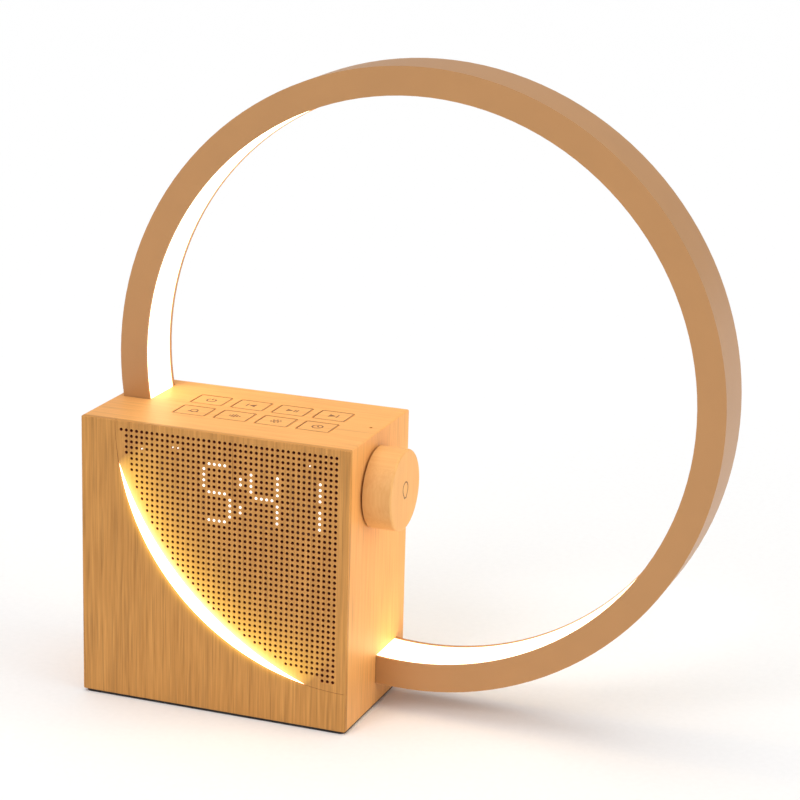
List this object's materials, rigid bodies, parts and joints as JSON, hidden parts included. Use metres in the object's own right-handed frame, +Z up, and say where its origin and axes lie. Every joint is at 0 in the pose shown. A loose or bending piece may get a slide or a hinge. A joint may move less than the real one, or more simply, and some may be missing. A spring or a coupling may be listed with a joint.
{
  "type": "alarm clock",
  "caption": "Wood-grain box alarm clock with a dot display behind a perforated front, a lit crescent, flush top keys, a side knob and a ring lamp.",
  "frame": {"origin": "centre of the base pad's underside, on the table", "axes": "+Z up; the display faces -Y; the knob and the ring are towards +X"},
  "size_m": [0.2393, 0.061, 0.2473],
  "materials": {
    "wood_case": "light beech grain, satin, crisp edges",
    "wood_knob": "fine light grain, satin",
    "wood_key": null,
    "black_rubber": "matt black rubber",
    "steel_screw": "zinc-plated steel",
    "crescent_glow": "milky lens, lit warm white",
    "ring_glow": "milky lens, lit warm white",
    "lamp_chip": "yellow lamp chips",
    "display_glow": "clear pins, lit warm white",
    "smoked_pin": "dark, unlit pins",
    "green_board": "green solder mask",
    "white_board": "white solder mask",
    "black_plastic": "moulded black plastic",
    "white_plastic": "moulded white plastic",
    "black_cloth": "fine black acoustic cloth",
    "pressed_steel": "black pressed steel",
    "speaker_rubber": "soft black rubber",
    "speaker_paper": "black pressed paper",
    "coil_copper": "wound copper wire",
    "magnet_ferrite": "dark ferrite and steel",
    "plated_metal": "bright nickel plate",
    "chip_black": "black moulded packages",
    "ring_paint": "satin tan paint over extruded aluminium",
    "lead_jacket": "red insulated wire"
  },
  "bodies": {
    "case": {"main_case": "wood_case", "front_panel": "wood_case", "speaker_grille": "wood_case", "rear_cover": "wood_case", "base_pad": "black_rubber", "rear_cover_screws": "steel_screw", "baffle_screws": "steel_screw", "speaker_screws": "steel_screw", "key_board_screws": "steel_screw", "ring_clamp_screws": "steel_screw", "main_board_screws": "steel_screw", "crescent_diffuser": "crescent_glow", "ring_diffuser": "ring_glow", "crescent_leds": "lamp_chip", "ring_leds": "lamp_chip", "display_pins_lit": "display_glow", "display_pins_unlit": "smoked_pin", "key_board": "green_board", "main_board": "green_board", "display_board": "green_board", "encoder_board": "green_board", "crescent_led_board": "white_board", "ring_led_strip": "white_board", "display_mask": "black_plastic", "front_baffle": "black_plastic", "key_switches": "black_plastic", "cell_holder": "black_plastic", "ring_clamp_upper": "white_plastic", "ring_clamp_lower": "white_plastic", "board_plugs": "white_plastic", "acoustic_scrim": "black_cloth", "speaker_basket": "pressed_steel", "speaker_surround": "speaker_rubber", "speaker_cone": "speaker_paper", "speaker_dust_cap": "speaker_paper", "speaker_voice_coil": "coil_copper", "speaker_magnet": "magnet_ferrite", "usb_inlet": "plated_metal", "backup_cell": "plated_metal", "microphone": "plated_metal", "encoder_body": "plated_metal", "encoder_nut": "plated_metal", "board_chips": "chip_black", "board_capacitors": "chip_black", "ring_channel": "ring_paint", "internal_leads": "lead_jacket"},
    "key_alarm_body": {"key_alarm": "wood_key"},
    "key_sound_body": {"key_sound": "wood_key"},
    "key_light_body": {"key_light": "wood_key"},
    "key_timer_body": {"key_timer": "wood_key"},
    "key_power_body": {"key_power": "wood_key"},
    "key_previous_body": {"key_previous": "wood_key"},
    "key_play_body": {"key_play": "wood_key"},
    "key_next_body": {"key_next": "wood_key"},
    "knob_carrier": {"encoder_plunger": "black_plastic"},
    "knob_body": {"knob": "wood_knob", "knob_hub": "white_plastic", "encoder_shaft": "plated_metal"}
  },
  "joints": [
    {"name": "key_alarm_press", "type": "slide", "parent": "case", "child": "key_alarm_body", "axis": [0, 0, -1], "range_m": [0, 0.0005], "stiffness_N_per_m": 600, "springref_m": -0.0002},
    {"name": "key_sound_press", "type": "slide", "parent": "case", "child": "key_sound_body", "axis": [0, 0, -1], "range_m": [0, 0.0005], "stiffness_N_per_m": 600, "springref_m": -0.0002},
    {"name": "key_light_press", "type": "slide", "parent": "case", "child": "key_light_body", "axis": [0, 0, -1], "range_m": [0, 0.0005], "stiffness_N_per_m": 600, "springref_m": -0.0002},
    {"name": "key_timer_press", "type": "slide", "parent": "case", "child": "key_timer_body", "axis": [0, 0, -1], "range_m": [0, 0.0005], "stiffness_N_per_m": 600, "springref_m": -0.0002},
    {"name": "key_power_press", "type": "slide", "parent": "case", "child": "key_power_body", "axis": [0, 0, -1], "range_m": [0, 0.0005], "stiffness_N_per_m": 600, "springref_m": -0.0002},
    {"name": "key_previous_press", "type": "slide", "parent": "case", "child": "key_previous_body", "axis": [0, 0, -1], "range_m": [0, 0.0005], "stiffness_N_per_m": 600, "springref_m": -0.0002},
    {"name": "key_play_press", "type": "slide", "parent": "case", "child": "key_play_body", "axis": [0, 0, -1], "range_m": [0, 0.0005], "stiffness_N_per_m": 600, "springref_m": -0.0002},
    {"name": "key_next_press", "type": "slide", "parent": "case", "child": "key_next_body", "axis": [0, 0, -1], "range_m": [0, 0.0005], "stiffness_N_per_m": 600, "springref_m": -0.0002},
    {"name": "knob_push", "type": "slide", "parent": "case", "child": "knob_carrier", "axis": [-1, 0, 0], "range_m": [0, 0.0005], "stiffness_N_per_m": 2000, "springref_m": -0.0003},
    {"name": "knob_turn", "type": "hinge", "parent": "knob_carrier", "child": "knob_body", "pos_m": [0.0545, -0.0044, 0.0902], "axis": [1, 0, 0], "continuous": true}
  ]
}
